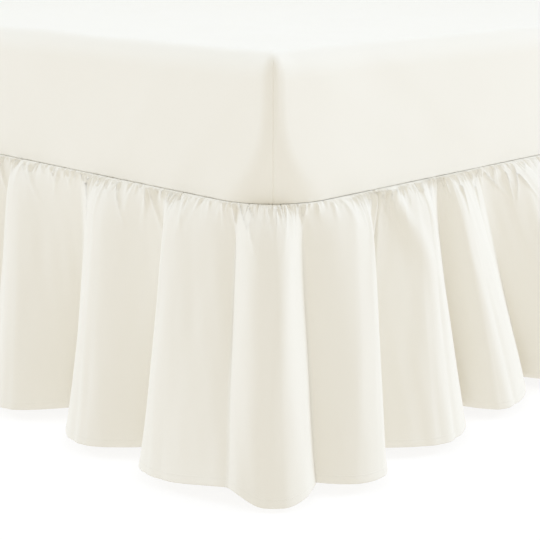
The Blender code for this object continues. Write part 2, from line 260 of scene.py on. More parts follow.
# ---------------------------------------------------------------------------------------------
# Fitted sheet. One cream cotton cloth makes the top and the four walls. A stitched dart draws
# each corner in and ends in a small soft peak. The seam allowance is pressed up inside the lip.
# ---------------------------------------------------------------------------------------------
CLOTH_THICKNESS = 0.0009
DART_COLUMNS = (0.0007, 0.0014, 0.0022, 0.0032, 0.0046, 0.0065, 0.009, 0.013, 0.019, 0.028, 0.040,
                0.055, 0.072)
FOOT_CELLS = 84
SIDE_CELLS = 118
LIP_HEIGHTS = (0, 0.0004, 0.0010, 0.0020, 0.0034, 0.0052)
LIP_TOP_HEIGHTS = (0.0075, 0.0110)
WALL_HEIGHTS = (0.016, 0.024, 0.034, 0.046, 0.060, 0.076, 0.092, 0.108, 0.124, 0.140, 0.156, 0.172,
                0.188)
EDGE_ROWS = 11
DART_GROOVE = 0.0010
DART_GROOVE_WIDTH = 0.0009
DART_TIP_DROP = 0.012
DART_FADE = 0.010
DART_TIP_INSET = 0.017
ALLOWANCE_HEIGHT = 0.0006
ALLOWANCE_PLACE = 0.0055
ALLOWANCE_WIDTH = 0.0035
PEAK_HEIGHT = 0.0050
PEAK_WIDTH = 0.020
LIP_RIDGE = 0.0007
LIP_RIDGE_HEIGHT = 0.0016
LIP_RIDGE_WIDTH = 0.0016
LIP_RECESS = 0.0001
LIP_RECESS_FADE = 0.0008
LIP_RIPPLES = 9
LIP_RIPPLE_SEED = 5
LIP_RIPPLE_PACES = (70, 700)
LIP_RIPPLE_HEIGHT = 0.00009
LIP_RIPPLE_FADE = 0.0050
RELIEF_ONSET = 0.040
SOFT_WAVES = 16
SOFT_WAVE_SEED = 11
SOFT_WAVE_HEIGHT = 0.0007
SOFT_WAVE_LENGTH = 0.3
SHORTEST_SOFT_WAVE = 0.13
SOFT_WAVE_RANGE = 3.2
SOFT_WAVE_LIFTS = (-0.7, 0.7)
WAVE_SHARES = (0.3, 1)
COTTON_COLOUR = (0.897, 0.868, 0.792)
COTTON_SHADE = (0.872, 0.838, 0.752)
THREAD_STRETCH = 1400
THREAD_SQUEEZE = 70
# Each drag line: its two ends in space, its width and its height
DRAGS = [
    ((-0.75, -0.34, 0.64), (-0.75, -0.62, 0.50), 0.022, 0.0012),
    ((-0.75, -0.52, 0.64), (-0.75, -0.80, 0.47), 0.030, 0.0014),
    ((-0.75, -0.76, 0.62), (-0.75, -0.64, 0.46), 0.018, 0.0009),
    ((-0.75, -0.92, 0.60), (-0.75, -0.78, 0.45), 0.020, 0.0010),
    ((-0.66, -1.00, 0.62), (-0.44, -1.00, 0.50), 0.026, 0.0012),
    ((-0.50, -1.00, 0.64), (-0.26, -1.00, 0.48), 0.022, 0.0010),
    ((-0.58, -1.00, 0.46), (-0.36, -1.00, 0.54), 0.018, 0.0007),
]


def cotton(name):
    """Plain-woven cotton: fine threads with slubs, a soft bloom and faint unevenness."""
    finish = Finish(name, 0.85, sheen=0.15, specular=0.25)
    cloth = finish.add("ShaderNodeUVMap", {"uv_map": "cloth"})
    across, along, _ = finish.add("ShaderNodeSeparateXYZ", {}, {0: cloth}).siblings()
    weave = woven(finish, across, along, 0.0007)
    weft = finish.add("ShaderNodeVectorMath", {"operation": "MULTIPLY"},
                      {0: cloth, 1: (THREAD_SQUEEZE, THREAD_STRETCH, 1)})
    warp = finish.add("ShaderNodeVectorMath", {"operation": "MULTIPLY"},
                      {0: cloth, 1: (THREAD_STRETCH, THREAD_SQUEEZE, 1)})
    slubs = finish.noise(weft, 1, 2) * 0.5 + finish.noise(warp, 1, 2) * 0.5
    cloud = finish.noise(cloth, 9, 3)
    finish.set("Base Color", finish.mix(slubs * 0.6 + cloud * 0.4, COTTON_SHADE,
                                        COTTON_COLOUR))
    finish.set("Roughness", 0.78 + cloud * 0.14)
    finish.bump(weave * 0.4 + slubs * 0.6, 0.00010)
    return finish


def halved(columns):
    """The columns with one more half way between each two."""
    between = (columns[:-1] + columns[1:]) / 2
    return np.append(np.stack([columns[:-1], between], axis=1).ravel(), columns[-1])


def rows_to_faces(counts, ring=False):
    """Faces between rows of points, down the rows; counts holds each row's cells.

    A row with half the cells of the one before takes three triangles a cell. A ring's last
    cell ends at its first point.
    """
    faces = []
    start = 0
    for cells, next_cells in zip(counts, counts[1:]):
        after = start + cells + (not ring)
        upper = [start + at for at in range(cells)] + [start if ring else start + cells]
        lower = [after + at for at in range(next_cells)] + [after if ring else after + next_cells]
        if next_cells == cells:
            faces += [(upper[at], lower[at], lower[at + 1], upper[at + 1]) for at in range(cells)]
        else:
            for at in range(next_cells):
                left, middle, right = upper[2 * at:2 * at + 3]
                faces += [(left, lower[at], middle), (middle, lower[at], lower[at + 1]),
                          (middle, lower[at + 1], right)]
        start = after
    return faces


def shell(front, back, faces):
    """A closed cloth: the front's faces, the back's turned over, and the rims between them."""
    count = len(front)
    edges = {}
    for face in faces:
        for first, second in zip(face, face[1:] + face[:1]):
            if (second, first) in edges:
                del edges[second, first]
            else:
                edges[first, second] = True
    closed = list(faces)
    closed += [tuple(count + corner for corner in reversed(face)) for face in faces]
    closed += [(second, first, count + first, count + second) for first, second in edges]
    return np.concatenate([front, back]), closed


def corner_numbers(piece):
    """For each face corner of a piece, the number of its point and of its face."""
    corners = np.empty(len(piece.data.loops), dtype=np.int32)
    piece.data.loops.foreach_get("vertex_index", corners)
    sizes = np.empty(len(piece.data.polygons), dtype=np.int32)
    piece.data.polygons.foreach_get("loop_total", sizes)
    return corners, np.repeat(np.arange(len(sizes)), sizes)


def lay_flat(piece, flat_points):
    """The piece's "cloth" UV map, in metres of flat cloth, from a place for each face corner."""
    layer = piece.data.uv_layers.new(name="cloth")
    layer.uv.foreach_set("vector", np.asarray(flat_points, dtype=np.float32).ravel())


chance = random.Random(SOFT_WAVE_SEED)
soft_waves = []
for _ in range(SOFT_WAVES):
    turn, lift = chance.uniform(0, 2 * pi), chance.uniform(*SOFT_WAVE_LIFTS)
    length = SHORTEST_SOFT_WAVE * SOFT_WAVE_RANGE ** chance.random()
    direction = np.array([cos(turn), sin(turn), lift]) * 2 * pi / length
    soft_waves.append((direction, chance.uniform(0, 2 * pi),
                       SOFT_WAVE_HEIGHT * (length / SOFT_WAVE_LENGTH)
                       * chance.uniform(*WAVE_SHARES)))


def soft_relief(points):
    """How far the loose cloth lies out from the bed, in gentle swells."""
    return sum(height * np.sin(points @ direction + phase)
               for direction, phase, height in soft_waves)


def drag_relief(points):
    """Height of the faint ridges where the sheet is dragged over the mattress."""
    relief = np.zeros(len(points))
    for start, end, width, height in DRAGS:
        start, end = np.array(start), np.array(end)
        line = end - start
        share = np.clip((points - start) @ line / (line @ line), 0, 1)
        away = np.linalg.norm(points - start - share[:, None] * line, axis=1)
        relief += height * np.exp(-(away / width) ** 2)
    return relief


def dart_relief(points, aside, above):
    """The stitched groove down each corner and the peak where it ends, given metres aside."""
    below_tip = np.clip((straight + TOP_EDGE_RADIUS - DART_TIP_DROP - above) / DART_FADE, 0, 1)
    groove = -DART_GROOVE * np.exp(-(aside / DART_GROOVE_WIDTH) ** 2) * below_tip
    ridge = np.exp(-((aside - ALLOWANCE_PLACE) / ALLOWANCE_WIDTH) ** 2)
    allowance = ALLOWANCE_HEIGHT * ridge * below_tip
    tips = CORNERS * [BED_WIDTH / 2 - DART_TIP_INSET, BED_LENGTH / 2 - DART_TIP_INSET]
    tip_away = np.min([np.hypot(points[:, 0] - x, points[:, 1] - y) for x, y in tips], axis=0)
    level_away = np.abs(above - straight - TOP_EDGE_RADIUS + DART_TIP_DROP)
    away = np.hypot(tip_away, level_away)
    return groove + allowance + PEAK_HEIGHT * np.exp(-(away / PEAK_WIDTH) ** 2)


half_arc = SEAM_CORNER_RADIUS * pi / 4
dart_steps = np.array(DART_COLUMNS) / half_arc * 0.25
dart_part = np.concatenate([[0], 0.25 - dart_steps[::-1], [0.25], 0.25 + dart_steps])
sheet_columns = []
for corner, cells in enumerate((FOOT_CELLS, SIDE_CELLS, FOOT_CELLS, SIDE_CELLS)):
    sheet_columns.append(corner + dart_part)
    sheet_columns.append(corner + np.linspace(0.5, 1, cells, endpoint=False))
wall_columns = np.append(np.concatenate(sheet_columns), 4.0)
lip_top_columns = halved(wall_columns)
lip_columns = halved(lip_top_columns)

sheet_rows = [(lip_columns, height, 0.0) for height in LIP_HEIGHTS]
sheet_rows += [(lip_top_columns, height, 0.0) for height in LIP_TOP_HEIGHTS]
sheet_rows += [(wall_columns, height, 0.0) for height in WALL_HEIGHTS]
sheet_rows += [(wall_columns, straight, step / EDGE_ROWS * pi / 2)
               for step in range(1, EDGE_ROWS + 1)]
ripple_chance = random.Random(LIP_RIPPLE_SEED)
lip_ripples = [(ripple_chance.uniform(*LIP_RIPPLE_PACES), ripple_chance.uniform(0, 2 * pi))
               for _ in range(LIP_RIPPLES)]
front, back, counts = [], [], []
for columns, above, turn in sheet_rows:
    columns = columns[:-1]
    inset = TOP_EDGE_RADIUS * (1 - cos(turn))
    radius = corner_radius(above, inset)
    height = above + TOP_EDGE_RADIUS * sin(turn)
    points, outward = round_the_bed(columns, radius, inset, SEAM_HEIGHT + height)
    normal = outward * cos(turn) + np.array([0, 0, 1]) * sin(turn)
    aside = (np.mod(columns, 1) - 0.25) * 4 * (radius - inset) * pi / 4
    settled = np.clip(height / RELIEF_ONSET, 0, 1)
    relief = (soft_relief(points) + drag_relief(points)) * settled
    relief += dart_relief(points, aside, height)
    straightness = 1 - (2 * outward[:, 0] * outward[:, 1]) ** 2
    ridge = LIP_RIDGE * exp(-((height - LIP_RIDGE_HEIGHT) / LIP_RIDGE_WIDTH) ** 2)
    relief += straightness * (ridge - LIP_RECESS * exp(-height / LIP_RECESS_FADE))
    ripple = sum(np.sin(columns * pace + phase) for pace, phase in lip_ripples)
    relief += LIP_RIPPLE_HEIGHT * ripple * exp(-height / LIP_RIPPLE_FADE)
    front.append(points + normal * relief[:, None])
    back.append(points + normal * (relief - CLOTH_THICKNESS)[:, None])
    counts.append(len(columns))
faces = [tuple(reversed(face)) for face in rows_to_faces(counts, ring=True)]

# The top is a grid inside the last ring. Its corners each gather the columns of one arc.
grid_first = sum(counts)
grid_inset = TOP_EDGE_RADIUS + LEAST_CORNER_RADIUS
grid_x = np.linspace(-1, 1, FOOT_CELLS + 1) * (BED_WIDTH / 2 - grid_inset)
grid_y = np.linspace(-1, 1, SIDE_CELLS + 1) * (BED_LENGTH / 2 - grid_inset)
grid = np.arange((FOOT_CELLS + 1) * (SIDE_CELLS + 1)).reshape(SIDE_CELLS + 1, -1) + grid_first
points = np.stack([*np.meshgrid(grid_x, grid_y), np.full(grid.shape, sheet_high.z)], axis=-1)
points = points.reshape(-1, 3)
relief = soft_relief(points) + dart_relief(points, np.ones(len(points)), WALL_DEPTH)
front.append(points + [0, 0, 1] * relief[:, None])
back.append(points + [0, 0, 1] * (relief - CLOTH_THICKNESS)[:, None])
faces += [(grid[row, at], grid[row, at + 1], grid[row + 1, at + 1], grid[row + 1, at])
          for row in range(SIDE_CELLS) for at in range(FOOT_CELLS)]
edge_points = []
for side in (grid[0], grid[:, -1], grid[-1, ::-1], grid[::-1, 0]):
    edge_points += [side[0]] * len(dart_part)
    edge_points += list(side[:-1])
last_ring = list(range(grid_first - counts[-1], grid_first))
for at in range(counts[-1]):
    after = (at + 1) % counts[-1]
    face = (last_ring[at], last_ring[after], edge_points[after], edge_points[at])
    faces.append(tuple(dict.fromkeys(face)))
faces = [tuple(int(corner) for corner in face) for face in faces]
sheet_cotton = cotton("sheet_cotton")
sheet = mesh_piece("valance_sheet", *shell(np.concatenate(front), np.concatenate(back), faces),
                   sheet_cotton.material)

corners, faces_of = corner_numbers(sheet)
points = np.array([point.co for point in sheet.data.vertices])[corners]
middles = np.array([face.center for face in sheet.data.polygons])[faces_of]
to_side = BED_WIDTH / 2 - np.abs(middles[:, 0])
to_end = BED_LENGTH / 2 - np.abs(middles[:, 1])
edge_turn = np.arcsin(np.clip((points[:, 2] - SEAM_HEIGHT - straight) / TOP_EDGE_RADIUS, 0, 1))
drop = TOP_EDGE_RADIUS * (pi / 2 - edge_turn)
drop += np.clip(SEAM_HEIGHT + straight - points[:, 2], 0, None)
flat_points = points[:, :2].copy()
for axis, size, near in ((0, BED_WIDTH, to_side < to_end), (1, BED_LENGTH, to_side >= to_end)):
    edge = size / 2 - TOP_EDGE_RADIUS
    over = near & (np.abs(points[:, axis]) > edge + 1e-5)
    unrolled = np.sign(points[:, axis]) * (edge + drop)
    flat_points[over, axis] = unrolled[over]
lay_flat(sheet, flat_points)
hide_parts("fitted_sheet")

# ---------------------------------------------------------------------------------------------
# Corner seams. Each dart is closed by a row of lockstitches in matching thread, about 3 mm apart,
# from the lip to its tip. Every stitch is a short plump loop half sunk in the groove.
# ---------------------------------------------------------------------------------------------
STITCH_PITCH = 0.0030
STITCH_LENGTH = 0.0021
STITCH_THICKNESS = 0.0005
FIRST_STITCH_HEIGHT = 0.002
DART_LINE_POINTS = 90


def stitched(name, lines, material):
    """A row of stitches along each line of points, as one plain mesh made by Geometry Nodes."""
    points = np.concatenate(lines)
    edges = []
    start = 0
    for line in lines:
        edges += [(start + at, start + at + 1) for at in range(len(line) - 1)]
        start += len(line)
    path = bpy.data.meshes.new(name + "_path")
    path.from_pydata(points.tolist(), edges, [])
    guide = bpy.data.objects.new(name + "_path", path)
    bpy.context.scene.collection.objects.link(guide)

    tree = bpy.data.node_groups.new(name, "GeometryNodeTree")
    sockets = {}
    for label, kind in (("Path", "NodeSocketGeometry"), ("Pitch", "NodeSocketFloat"),
                        ("Length", "NodeSocketFloat"), ("Thickness", "NodeSocketFloat"),
                        ("Thread", "NodeSocketMaterial")):
        sockets[label] = tree.interface.new_socket(label, in_out="INPUT", socket_type=kind)
    tree.interface.new_socket("Stitches", in_out="OUTPUT", socket_type="NodeSocketGeometry")
    kinds = {"given": "NodeGroupInput", "line": "GeometryNodeMeshToCurve",
             "spaced": "GeometryNodeResampleCurve", "heading": "GeometryNodeInputTangent",
             "facing": "FunctionNodeAlignRotationToVector", "loop": "GeometryNodeMeshIcoSphere",
             "shape": "ShaderNodeCombineXYZ", "each": "GeometryNodeInstanceOnPoints",
             "plain": "GeometryNodeRealizeInstances", "smooth": "GeometryNodeSetShadeSmooth",
             "dressed": "GeometryNodeSetMaterial", "result": "NodeGroupOutput"}
    nodes = {label: tree.nodes.new(kind) for label, kind in kinds.items()}
    nodes["spaced"].mode = "LENGTH"
    nodes["facing"].axis = "X"
    nodes["loop"].inputs["Radius"].default_value = 0.5
    nodes["loop"].inputs["Subdivisions"].default_value = 1
    for from_node, output, to_node, entry in (
            ("given", "Path", "line", "Mesh"), ("line", "Curve", "spaced", "Curve"),
            ("given", "Pitch", "spaced", "Length"), ("spaced", "Curve", "each", "Points"),
            ("heading", "Tangent", "facing", "Vector"), ("facing", "Rotation", "each", "Rotation"),
            ("given", "Length", "shape", "X"), ("given", "Thickness", "shape", "Y"),
            ("given", "Thickness", "shape", "Z"), ("shape", "Vector", "each", "Scale"),
            ("loop", "Mesh", "each", "Instance"), ("each", "Instances", "plain", "Geometry"),
            ("plain", "Geometry", "smooth", "Geometry"),
            ("smooth", "Geometry", "dressed", "Geometry"),
            ("given", "Thread", "dressed", "Material"),
            ("dressed", "Geometry", "result", "Stitches")):
        tree.links.new(nodes[from_node].outputs[output], nodes[to_node].inputs[entry])
    sewing = guide.modifiers.new("stitches", "NODES")
    sewing.node_group = tree
    for label, value in (("Pitch", STITCH_PITCH), ("Length", STITCH_LENGTH),
                         ("Thickness", STITCH_THICKNESS), ("Thread", material)):
        sewing[sockets[label].identifier] = value
    ready = guide.evaluated_get(bpy.context.evaluated_depsgraph_get())
    mesh = bpy.data.meshes.new_from_object(ready)
    bpy.data.objects.remove(guide)
    stitches = bpy.data.objects.new(name, mesh)
    bpy.context.scene.collection.objects.link(stitches)
    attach(stitches, "root")
    return stitches


thread = Finish("matching_thread", 0.6, sheen=0.3, specular=0.4)
place = thread.add("ShaderNodeTexCoord", {}, {}, out=3)
strands = thread.noise(place, 4000, 1)
thread.set("Base Color", thread.mix(strands, (0.80, 0.77, 0.69), (0.90, 0.88, 0.81)))
thread.bump(strands, 0.0001)
dart_heights = np.linspace(FIRST_STITCH_HEIGHT, straight + TOP_EDGE_RADIUS - DART_TIP_DROP,
                           DART_LINE_POINTS)
dart_lines = []
for corner in range(4):
    line = []
    for above in dart_heights:
        turn = np.arcsin(np.clip((above - straight) / TOP_EDGE_RADIUS, 0, 1))
        inset = TOP_EDGE_RADIUS * (1 - cos(turn))
        spot, outward = round_the_bed(np.array([corner + 0.25]), corner_radius(above, inset),
                                      inset, SEAM_HEIGHT + above)
        normal = outward * cos(turn) + np.array([0, 0, 1]) * sin(turn)
        relief = soft_relief(spot) * min(above / RELIEF_ONSET, 1)
        relief = relief + dart_relief(spot, np.zeros(1), above)
        line.append((spot + normal * relief[:, None])[0])
    dart_lines.append(np.array(line))
dart_stitches = stitched("dart_stitches", dart_lines, thread.material)

# ---------------------------------------------------------------------------------------------
# Frill. Four lengths of the same cotton are sewn end to end, gathered to two thirds of their
# width and sewn under the lip. They spring out in small tucks and fall in uneven soft folds.
# ---------------------------------------------------------------------------------------------
HEM_HEIGHT = 0.018
CORNER_PROUD = 0.0004
FRILL_TOP_PROUD = 0.0006
PIECE_GAP = 0.0003
JOIN_TRIM = 0.0004
SPRING_DEPTH = 0.020
VALLEY_SPRING = 0.034
CREST_SPRING = 0.19
VALLEY_BELLY = 0.35
FAN = 1.18
CREST_CROWN = 0.12
CREST_ROUNDING = 0.06
TURN_SPREAD = 0.045
TURN_STEPS = 19
HEM_SAMPLES = 24001
OTHER_FOLDS = 27
OTHER_FOLDS_SEED = 7
OTHER_GAPS = (0.84, 1.16)
OTHER_SEAM_SHIFTS = (-0.020, 0.020)
OTHER_REACHES = (0.118, 0.155)
OTHER_FLATS = (0.015, 0.045)
OTHER_VALLEYS = (0.46, 0.56)
OTHER_VALLEY_REACHES = (0.036, 0.072)
OTHER_FLANKS = (1.4, 2.2)
FRILL_DROP = SEAM_HEIGHT - HEM_HEIGHT
COARSE_STEP = 0.005
HEM_WIDTH = 0.012
HEM_STEP = 0.0006
HEM_STEP_WIDTH = 0.0004
HEM_GROOVE = 0.0004
HEM_GROOVE_WIDTH = 0.0009
HEM_STITCH_INSET = 0.0015
HEM_LINE_STEP = 0.002
NORMAL_REACH = 0.004
TOP_SLOPE = 0.2
TOP_TUCK = 0.0002
TOP_TUCK_DEPTH = 0.0006
PUFF = 0.0034
PUFF_ONSET = 0.0012
PUFF_FADE = 0.035
TUCK_SEED = 23
TUCK_SHIFT = 0.40
TUCK_HEIGHTS = (0.2, 1.3)
TUCK_WIDTHS = (0.7, 1.3)
TUCK_FADE_RANGE = 2.2
TUCK_FADE_POWER = 1.5
TUCK_WIDENING = 0.4
TUCK_REACH = 3
LEAST_TUCK = 2e-5
PUCKER_SWELL = 0.0010
PUCKER_FADE = 0.85
FRILL_WAVES = 18
FRILL_WAVE_SEED = 31
FRILL_WAVE_SLOPE = 0.0035
SHORTEST_FRILL_WAVE = 0.030
FRILL_WAVE_RANGE = 4
FRILL_WAVE_LEAN = 0.25
FRILL_WAVE_TURN = 5
FRILL_WAVE_ONSET = 0.060

# A row for each fold: places are metres round the seam from the middle of the foot-left corner,
# foot side positive. "seam" and "crest" are the fold's place at the seam and at the hem, "reach"
# how far its crest stands out there, "flat" the width of its top, "valley_seam", "valley" and
# "valley_reach" the hollow after it, and "dip" and "valley_dip" how much lower their hems hang.
# "rise" and "fall" shape the flanks before and after the crest: 1 is straight and 2 is round with
# a sharp hollow.
Fold = namedtuple("Fold", "seam crest reach flat valley_seam valley valley_reach dip valley_dip "
                          "rise fall")
CORNER_FOLDS = [
    Fold(-0.605, -0.506, 0.139, 0.038, -0.436, -0.402, 0.038, 0.000, 0.000, 1.80, 1.39),
    Fold(-0.353, -0.275, 0.148, 0.023, -0.218, -0.175, 0.076, 0.000, 0.000, 1.66, 1.38),
    Fold(-0.167, -0.096, 0.151, 0.022, -0.054, -0.030, 0.150, 0.000, -0.009, 1.67, 1.10),
    Fold(-0.004, 0.000, 0.171, 0.008, 0.042, 0.033, 0.112, 0.0115, 0.000, 1.87, 1.90),
    Fold(0.147, 0.074, 0.143, 0.021, 0.199, 0.135, 0.045, 0.000, 0.000, 1.14, 1.79),
    Fold(0.294, 0.255, 0.123, 0.038, 0.357, 0.400, 0.030, 0.000, 0.000, 1.14, 1.72),
    Fold(0.386, 0.457, 0.099, 0.036, 0.470, 0.606, 0.021, 0.000, 0.000, 1.38, 1.76),
    Fold(0.590, 0.702, 0.124, 0.040, 0.700, 0.789, 0.050, 0.000, 0.000, 1.58, 2.00),
]

# The ridges and pits just under the seam round the foot-left corner. "place" is a metre round the
# seam as above, "top" and "bottom" depths below it, "lean" how far along the cloth a ridge moves
# for each metre down, and "height" and "width" its size. A pit has a height below zero.
Pucker = namedtuple("Pucker", "place top bottom lean height width")
PUCKERS = [
    Pucker(-0.664, 0.002, 0.048, 0.65, 0.0071, 0.0028),
    Pucker(-0.615, 0.000, 0.020, 0.75, 0.0059, 0.0032),
    Pucker(-0.594, 0.000, 0.028, 1.02, 0.0040, 0.0016),
    Pucker(-0.573, 0.000, 0.040, 0.63, 0.0059, 0.0026),
    Pucker(-0.545, 0.000, 0.014, 1.06, 0.0036, 0.0018),
    Pucker(-0.521, 0.000, 0.020, 0.96, 0.0048, 0.0026),
    Pucker(-0.504, 0.000, 0.018, 0.65, 0.0036, 0.0018),
    Pucker(-0.473, 0.000, 0.018, 0.36, 0.0053, 0.0020),
    Pucker(-0.454, 0.000, 0.018, -0.24, 0.0040, 0.0024),
    Pucker(-0.431, 0.000, 0.022, 1.48, 0.0053, 0.0020),
    Pucker(-0.399, 0.000, 0.018, 0.95, 0.0044, 0.0018),
    Pucker(-0.395, 0.010, 0.058, 0.68, 0.0064, 0.0019),
    Pucker(-0.376, 0.000, 0.018, 1.60, 0.0044, 0.0024),
    Pucker(-0.357, 0.000, 0.018, 1.31, 0.0044, 0.0016),
    Pucker(-0.344, 0.000, 0.014, 1.15, 0.0036, 0.0014),
    Pucker(-0.324, 0.000, 0.042, 0.47, 0.0059, 0.0016),
    Pucker(-0.299, 0.000, 0.016, 0.13, 0.0048, 0.0019),
    Pucker(-0.282, 0.000, 0.010, 1.50, 0.0040, 0.0019),
    Pucker(-0.252, 0.002, 0.038, -0.14, 0.0067, 0.0024),
    Pucker(-0.249, 0.002, 0.056, 0.41, 0.0067, 0.0027),
    Pucker(-0.235, 0.004, 0.016, 0.07, -0.0078, 0.0032),
    Pucker(-0.218, 0.002, 0.018, 0.49, 0.0040, 0.0027),
    Pucker(-0.197, 0.000, 0.020, 1.20, 0.0053, 0.0028),
    Pucker(-0.172, 0.000, 0.012, 1.50, -0.0096, 0.0034),
    Pucker(-0.153, 0.000, 0.012, 1.26, 0.0036, 0.0019),
    Pucker(-0.140, 0.000, 0.008, 1.20, 0.0028, 0.0014),
    Pucker(-0.109, 0.000, 0.012, 0.80, 0.0036, 0.0019),
    Pucker(-0.063, 0.000, 0.028, 0.30, 0.0040, 0.0018),
    Pucker(-0.061, 0.000, 0.068, 0.26, 0.0033, 0.0023),
    Pucker(-0.050, 0.000, 0.034, 0.92, 0.0048, 0.0016),
    Pucker(-0.039, 0.000, 0.022, 1.44, 0.0036, 0.0012),
    Pucker(-0.029, 0.022, 0.062, 0.32, 0.0028, 0.0024),
    Pucker(-0.016, 0.000, 0.010, 0.30, 0.0028, 0.0012),
    Pucker(0.000, 0.000, 0.016, 0.17, 0.0030, 0.0014),
    Pucker(0.014, 0.000, 0.012, -0.27, 0.0025, 0.0012),
    Pucker(0.027, 0.000, 0.016, -0.13, 0.0030, 0.0014),
    Pucker(0.037, 0.000, 0.016, -0.44, 0.0028, 0.0012),
    Pucker(0.050, 0.000, 0.032, -0.23, 0.0048, 0.0018),
    Pucker(0.074, 0.000, 0.010, 0.00, 0.0020, 0.0014),
    Pucker(0.099, 0.000, 0.012, -0.68, 0.0020, 0.0012),
    Pucker(0.118, 0.000, 0.012, -0.63, 0.0025, 0.0014),
    Pucker(0.133, 0.000, 0.012, -0.38, 0.0028, 0.0016),
    Pucker(0.142, 0.002, 0.030, 0.15, 0.0035, 0.0016),
    Pucker(0.159, 0.002, 0.016, -0.60, -0.0054, 0.0024),
    Pucker(0.172, 0.000, 0.026, 0.81, 0.0048, 0.0018),
    Pucker(0.199, 0.000, 0.010, -0.60, -0.0077, 0.0034),
    Pucker(0.190, 0.004, 0.170, -0.03, 0.0120, 0.0060),
    Pucker(0.211, 0.002, 0.038, 0.77, 0.0052, 0.0020),
    Pucker(0.207, 0.004, 0.170, -0.03, -0.0170, 0.0042),
    Pucker(0.223, 0.002, 0.048, 0.79, 0.0044, 0.0019),
    Pucker(0.234, 0.002, 0.026, 1.05, 0.0030, 0.0014),
    Pucker(0.232, 0.002, 0.120, 0.75, 0.0120, 0.0190),
    Pucker(0.256, 0.000, 0.020, -0.31, 0.0030, 0.0014),
    Pucker(0.279, 0.000, 0.020, -0.80, -0.0040, 0.0024),
    Pucker(0.288, 0.000, 0.020, -0.38, 0.0030, 0.0018),
    Pucker(0.306, 0.000, 0.020, -1.40, 0.0028, 0.0016),
    Pucker(0.333, 0.000, 0.032, -1.00, 0.0041, 0.0019),
    Pucker(0.360, 0.000, 0.018, 0.22, 0.0025, 0.0014),
    Pucker(0.381, 0.000, 0.020, -0.06, 0.0035, 0.0016),
    Pucker(0.401, 0.000, 0.026, -0.39, 0.0044, 0.0020),
    Pucker(0.397, 0.018, 0.074, -0.06, 0.0040, 0.0031),
    Pucker(0.419, 0.000, 0.014, -0.49, 0.0028, 0.0014),
    Pucker(0.436, 0.000, 0.034, 0.26, 0.0055, 0.0022),
    Pucker(0.442, 0.026, 0.074, 0.29, 0.0055, 0.0028),
    Pucker(0.469, 0.000, 0.026, -1.30, 0.0035, 0.0014),
    Pucker(0.486, 0.008, 0.042, 1.07, 0.0041, 0.0026),
    Pucker(0.511, 0.000, 0.030, -0.28, 0.0041, 0.0016),
    Pucker(0.530, 0.000, 0.022, 0.36, 0.0044, 0.0018),
    Pucker(0.534, 0.014, 0.068, -0.06, 0.0043, 0.0020),
    Pucker(0.563, 0.000, 0.066, -0.49, 0.0037, 0.0018),
    Pucker(0.602, 0.000, 0.020, -1.40, 0.0035, 0.0019),
    Pucker(0.560, 0.020, 0.058, 0.64, 0.0052, 0.0026),
    Pucker(0.635, 0.000, 0.022, -1.40, 0.0028, 0.0016),
]

# Tucks elsewhere, from the finest to the long soft ones: cloth between two of them, height,
# depths in which one swells up and dies out, its share of that cloth, and how much of its height
# is left among the puckers above.
Tuck = namedtuple("Tuck", "pitch height swell fade width beside")
TUCKS = [
    Tuck(0.0085, 0.0034, 0.0008, 0.0110, 0.18, 1.0),
    Tuck(0.0090, -0.0042, 0.0004, 0.0065, 0.15, 1.0),
    Tuck(0.0190, 0.0056, 0.0018, 0.0170, 0.15, 0.55),
    Tuck(0.0400, 0.0060, 0.0060, 0.0280, 0.17, 0.20),
    Tuck(0.0950, 0.0060, 0.0400, 0.1100, 0.22, 0.45),
]

ARC = SEAM_CORNER_RADIUS * pi / 4
FOOT_RUN = BED_WIDTH - 2 * SEAM_CORNER_RADIUS
SIDE_RUN = BED_LENGTH - 2 * SEAM_CORNER_RADIUS
SEAM_STATIONS = np.cumsum([0, ARC, FOOT_RUN, 2 * ARC, SIDE_RUN, 2 * ARC, FOOT_RUN, 2 * ARC,
                           SIDE_RUN, ARC])
SEAM_ROUND = SEAM_STATIONS[-1]
SEAM_TURNS = np.radians([225, 270, 270, 360, 360, 450, 450, 540, 540, 585])
SEAM_CENTRES_X = np.array([-1, -1, 1, 1, 1, 1, -1, -1, -1, -1]) * FOOT_RUN / 2
SEAM_CENTRES_Y = np.array([-1, -1, -1, -1, 1, 1, 1, 1, -1, -1]) * SIDE_RUN / 2


def all_folds():
    """Uneven folds round the bed from the corner ones, and those of the corner to close it."""
    chance = random.Random(OTHER_FOLDS_SEED)
    crest = CORNER_FOLDS[-1].crest
    gaps = [chance.uniform(*OTHER_GAPS) for _ in range(OTHER_FOLDS + 1)]
    scale = (CORNER_FOLDS[0].crest + SEAM_ROUND - crest) / sum(gaps)
    folds = []
    for before, after in zip(gaps, gaps[1:]):
        crest += before * scale
        folds.append(Fold(seam=crest + chance.uniform(*OTHER_SEAM_SHIFTS),
                          crest=crest,
                          reach=chance.uniform(*OTHER_REACHES),
                          flat=chance.uniform(*OTHER_FLATS),
                          valley_seam=crest + after * scale * 0.5,
                          valley=crest + after * scale * chance.uniform(*OTHER_VALLEYS),
                          valley_reach=chance.uniform(*OTHER_VALLEY_REACHES),
                          dip=0.0, valley_dip=0.0,
                          rise=chance.uniform(*OTHER_FLANKS), fall=chance.uniform(*OTHER_FLANKS)))
    for fold in CORNER_FOLDS:
        folds.append(fold._replace(seam=fold.seam + SEAM_ROUND, crest=fold.crest + SEAM_ROUND,
                                   valley_seam=fold.valley_seam + SEAM_ROUND,
                                   valley=fold.valley + SEAM_ROUND))
    return folds


def seam_turn(place):
    """Which way the seam line faces at metres round from its start, in radians from +X."""
    laps = np.floor(place / SEAM_ROUND)
    return np.interp(place - laps * SEAM_ROUND, SEAM_STATIONS, SEAM_TURNS) + laps * 2 * pi


